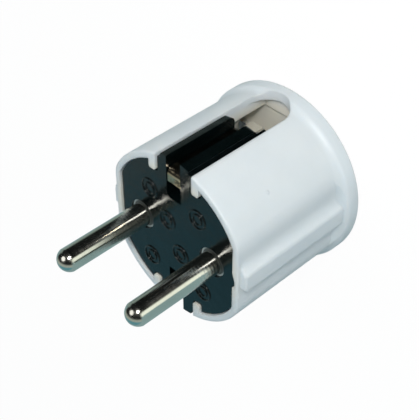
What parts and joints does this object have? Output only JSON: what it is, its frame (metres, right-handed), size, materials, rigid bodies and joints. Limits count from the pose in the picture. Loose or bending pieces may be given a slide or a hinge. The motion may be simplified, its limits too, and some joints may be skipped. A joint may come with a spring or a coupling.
{
  "type": "angled mains plug",
  "caption": "Angled mains plug: round pins and sprung earth contacts in side channels, a white hood with guide ribs over a black insert, and a cord outlet square to the pins.",
  "frame": {"origin": "in the plane of the flat rear face that the plug stands on, under the middle of the whole plug with its cord outlet", "axes": "+Z from the rear face to the pin tips, X from pin to pin with the keyed flat at +X, and the cord outlet points along -Y"},
  "size_m": [0.0384, 0.0432, 0.0513],
  "materials": {
    "hood_white": "smooth, half gloss",
    "insert_black": "glossy",
    "carrier_ivory": "matt",
    "clamp_plastic": "matt",
    "pin_nickel": "nickel plated, fine turning marks",
    "strap_nickel": "nickel plated spring strip",
    "brass": "milled",
    "screw_steel": "zinc plated",
    "bush_rubber": "matt"
  },
  "bodies": {
    "root": {"hood": "hood_white", "front_insert": "insert_black", "inner_carrier": "carrier_ivory", "earth_strap": "strap_nickel", "earth_terminal": "brass", "earth_screw": "screw_steel", "earth_wire_guard": "screw_steel", "cord_clamp": "clamp_plastic", "assembly_screw": "screw_steel", "assembly_nut": "brass", "outlet_bush": "bush_rubber", "pin_left": "pin_nickel", "pin_right": "pin_nickel", "terminal_left": "brass", "terminal_right": "brass", "terminal_screw_left": "screw_steel", "terminal_screw_right": "screw_steel", "wire_guard_left": "screw_steel", "wire_guard_right": "screw_steel", "clamp_screw_left": "screw_steel", "clamp_screw_right": "screw_steel"}
  },
  "joints": []
}
